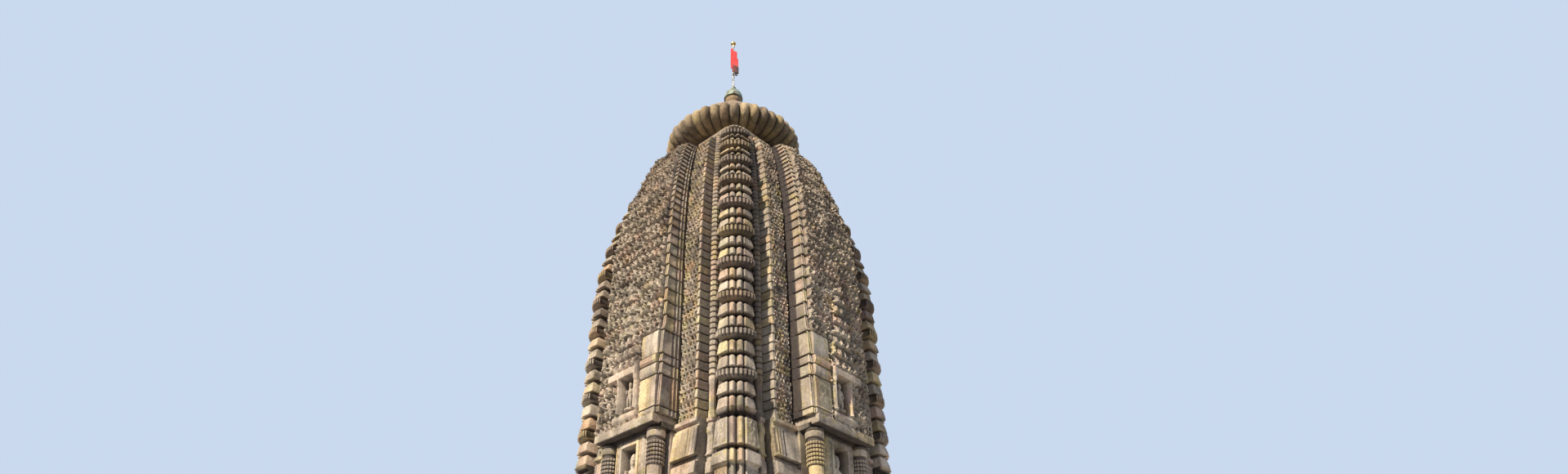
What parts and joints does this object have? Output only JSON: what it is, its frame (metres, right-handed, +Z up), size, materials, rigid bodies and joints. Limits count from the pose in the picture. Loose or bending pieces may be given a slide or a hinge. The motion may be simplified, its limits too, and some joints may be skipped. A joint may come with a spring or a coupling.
{
  "type": "hindu temple shrine tower",
  "caption": "Curved stone shrine tower of the Odishan kind: square plinth, moulded wall with niches and a doorway, ribbed spire, ribbed disc, cap, pot finial and flag.",
  "frame": {"origin": "centre of the plinth's underside, on the ground", "axes": "+Z up, the four faces look along +X, -X, +Y and -Y, and the doorway is in the +X face"},
  "size_m": [8.16, 8.16, 24.2987],
  "materials": {
    "sandstone": "weathered, carved, with ochre and pink blocks, lichen and dark stains",
    "plinth_stone": "rough and darker, stained near the ground",
    "disc_stone": "weathered, yellow lichen over grey and brown",
    "finial_metal": "dull green patina over dark metal",
    "gilding": "polished gold-coloured metal",
    "pole_paint": "chipped light grey paint",
    "flag_cloth": "matt woven cotton, dark at its folds and tail"
  },
  "bodies": {
    "root": {"plinth": "plinth_stone", "sanctum_floor": "plinth_stone", "north_east_pier": "sandstone", "north_west_pier": "sandstone", "south_west_pier": "sandstone", "south_east_pier": "sandstone", "wall_over_door": "sandstone", "north_bay": "sandstone", "west_bay": "sandstone", "south_bay": "sandstone", "door_jamb_south": "sandstone", "door_jamb_north": "sandstone", "east_pilaster_right": "sandstone", "east_pilaster_left": "sandstone", "north_pilaster_right": "sandstone", "north_pilaster_left": "sandstone", "west_pilaster_right": "sandstone", "west_pilaster_left": "sandstone", "south_pilaster_right": "sandstone", "south_pilaster_left": "sandstone", "east_cornice": "sandstone", "north_cornice": "sandstone", "west_cornice": "sandstone", "south_cornice": "sandstone", "sanctum_ceiling": "plinth_stone", "east_tower_wall": "sandstone", "north_tower_wall": "sandstone", "west_tower_wall": "sandstone", "south_tower_wall": "sandstone", "north_east_tower_rib": "sandstone", "north_west_tower_rib": "sandstone", "south_west_tower_rib": "sandstone", "south_east_tower_rib": "sandstone", "east_centre_rib": "sandstone", "north_centre_rib": "sandstone", "west_centre_rib": "sandstone", "south_centre_rib": "sandstone", "tower_top_slab": "sandstone", "neck_ring": "sandstone", "ribbed_disc": "disc_stone", "dome_cap": "sandstone", "finial_pot": "sandstone", "finial_lid": "finial_metal", "flag_pole": "pole_paint", "pole_ball": "gilding", "flag": "flag_cloth"}
  },
  "joints": []
}
